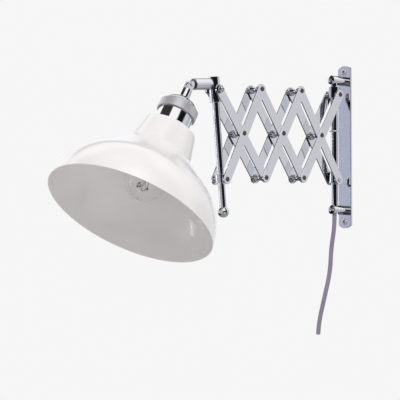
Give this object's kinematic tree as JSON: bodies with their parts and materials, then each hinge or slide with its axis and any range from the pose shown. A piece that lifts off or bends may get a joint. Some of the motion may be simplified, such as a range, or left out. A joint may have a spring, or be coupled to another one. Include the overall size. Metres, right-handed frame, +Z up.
{
  "type": "accordion wall lamp",
  "caption": "Wall lamp with a bell shade on a scissor arm that swings, folds out and tilts its head.",
  "frame": {"origin": "centre of the wall strip's back face", "axes": "+Z up, +X into the wall, the arm stands out along -X"},
  "size_m": [0.5179, 0.233, 0.3862],
  "materials": {
    "chrome": "mirror chrome plate on steel",
    "screw_steel": "zinc-plated screw steel",
    "clear_plastic": "clear soft plastic ring",
    "black_rubber": "moulded black rubber bush",
    "textile_flex": "braided mauve-grey textile cord",
    "brass": "turned brass",
    "porcelain": "glazed white porcelain",
    "white_enamel": "gloss warm-white enamel on spun steel",
    "holder_plastic": "white moulded clamp ring",
    "clear_glass": "clear blown glass",
    "cap_metal": "nickel-plated screw cap"
  },
  "bodies": {
    "root": {"wall_strip": "chrome", "upper_post": "chrome", "lower_post": "chrome", "post_screws": "screw_steel", "set_screws": "screw_steel", "wall_tube": "chrome", "stop_ring": "clear_plastic", "retaining_ring": "chrome", "cord_bush": "black_rubber", "cord": "textile_flex"},
    "rear_collar_body": {"rear_collar": "chrome", "rear_collar_pins": "chrome"},
    "rear_slider_body": {"rear_slider": "chrome", "rear_slider_pins": "chrome"},
    "front_frame": {"front_sleeve": "chrome", "front_sleeve_pins": "chrome", "front_rod": "chrome", "rod_ball": "chrome", "arm_tube": "chrome", "arm_bush": "brass"},
    "front_slider_body": {"front_slider": "chrome", "front_slider_pins": "chrome"},
    "knuckle": {"knuckle_eye": "chrome"},
    "head": {"stem": "chrome", "knuckle_screw": "chrome", "socket_cap": "chrome", "socket_cup": "chrome", "lampholder": "porcelain", "shade": "white_enamel", "shade_ring": "holder_plastic", "bulb_glass": "clear_glass", "bulb_cap": "cap_metal", "bulb_mount": "clear_glass"},
    "rising_1": {"near_rising_bar_1": "chrome", "far_rising_bar_1": "chrome", "rivet_middle_1": "chrome", "rivet_top_1": "chrome"},
    "falling_1": {"near_falling_bar_1": "chrome", "far_falling_bar_1": "chrome", "spacer_middle_1": "chrome", "spacer_bottom_1": "chrome"},
    "rising_2": {"near_rising_bar_2": "chrome", "far_rising_bar_2": "chrome", "rivet_middle_2": "chrome", "rivet_top_2": "chrome", "rivet_bottom_1": "chrome"},
    "falling_2": {"near_falling_bar_2": "chrome", "far_falling_bar_2": "chrome", "spacer_middle_2": "chrome", "spacer_top_1": "chrome", "spacer_bottom_2": "chrome"},
    "rising_3": {"near_rising_bar_3": "chrome", "far_rising_bar_3": "chrome", "rivet_middle_3": "chrome", "rivet_bottom_2": "chrome"},
    "falling_3": {"near_falling_bar_3": "chrome", "far_falling_bar_3": "chrome", "spacer_middle_3": "chrome", "spacer_top_2": "chrome"}
  },
  "joints": [
    {"name": "arm_swing", "type": "hinge", "parent": "root", "child": "rear_collar_body", "pos_m": [-0.0245, 0, 0], "axis": [0, 0, 1], "range_deg": [-75, 75]},
    {"name": "scissor_fold", "type": "hinge", "parent": "rear_collar_body", "child": "rising_3", "pos_m": [-0.0245, 0, 0.073], "axis": [0, 1, 0], "range_deg": [-22.5, 30.5]},
    {"name": "middle_pivot_3", "type": "hinge", "parent": "rising_3", "child": "falling_3", "pos_m": [-0.06345, 0, 0.01185], "axis": [0, 1, 0], "range_deg": [-61.5, 45.5]},
    {"name": "rear_slider_pivot", "type": "hinge", "parent": "falling_3", "child": "rear_slider_body", "pos_m": [-0.0245, 0, -0.04929], "axis": [0, 1, 0], "range_deg": [-23, 31]},
    {"name": "bottom_pivot_2", "type": "hinge", "parent": "rising_3", "child": "falling_2", "pos_m": [-0.10036, 0, -0.05055], "axis": [0, 1, 0], "range_deg": [-61.5, 45.5]},
    {"name": "middle_pivot_2", "type": "hinge", "parent": "falling_2", "child": "rising_2", "pos_m": [-0.14132, 0, 0.00927], "axis": [0, 1, 0], "range_deg": [-45.5, 61.5]},
    {"name": "top_pivot_1", "type": "hinge", "parent": "falling_2", "child": "rising_1", "pos_m": [-0.18424, 0, 0.0677], "axis": [0, 1, 0], "range_deg": [-45.5, 61.5]},
    {"name": "middle_pivot_1", "type": "hinge", "parent": "rising_1", "child": "falling_1", "pos_m": [-0.21906, 0, 0.00411], "axis": [0, 1, 0], "range_deg": [-61.5, 45.5]},
    {"name": "front_top_pivot", "type": "hinge", "parent": "falling_1", "child": "front_frame", "pos_m": [-0.26389, 0, 0.06108], "axis": [0, 1, 0], "range_deg": [-23, 31]},
    {"name": "front_slider_pivot", "type": "hinge", "parent": "rising_1", "child": "front_slider_body", "pos_m": [-0.25175, 0, -0.0606], "axis": [0, 1, 0], "range_deg": [-31, 23]},
    {"name": "head_swivel", "type": "hinge", "parent": "front_frame", "child": "knuckle", "pos_m": [-0.31046, 0, 0.06447], "axis": [-0.9951, 0, -0.0993], "range_deg": [-80, 80]},
    {"name": "head_tilt", "type": "hinge", "parent": "knuckle", "child": "head", "pos_m": [-0.31046, 0, 0.06447], "axis": [0, 1, 0], "range_deg": [-17, 75]}
  ],
  "couplings": [
    {"joint": "middle_pivot_3", "follows": "scissor_fold", "ratio": -2},
    {"joint": "rear_slider_pivot", "follows": "scissor_fold", "ratio": 1},
    {"joint": "bottom_pivot_2", "follows": "scissor_fold", "ratio": -2},
    {"joint": "middle_pivot_2", "follows": "scissor_fold", "ratio": 2},
    {"joint": "top_pivot_1", "follows": "scissor_fold", "ratio": 2},
    {"joint": "middle_pivot_1", "follows": "scissor_fold", "ratio": -2},
    {"joint": "front_top_pivot", "follows": "scissor_fold", "ratio": 1},
    {"joint": "front_slider_pivot", "follows": "scissor_fold", "ratio": -1}
  ]
}
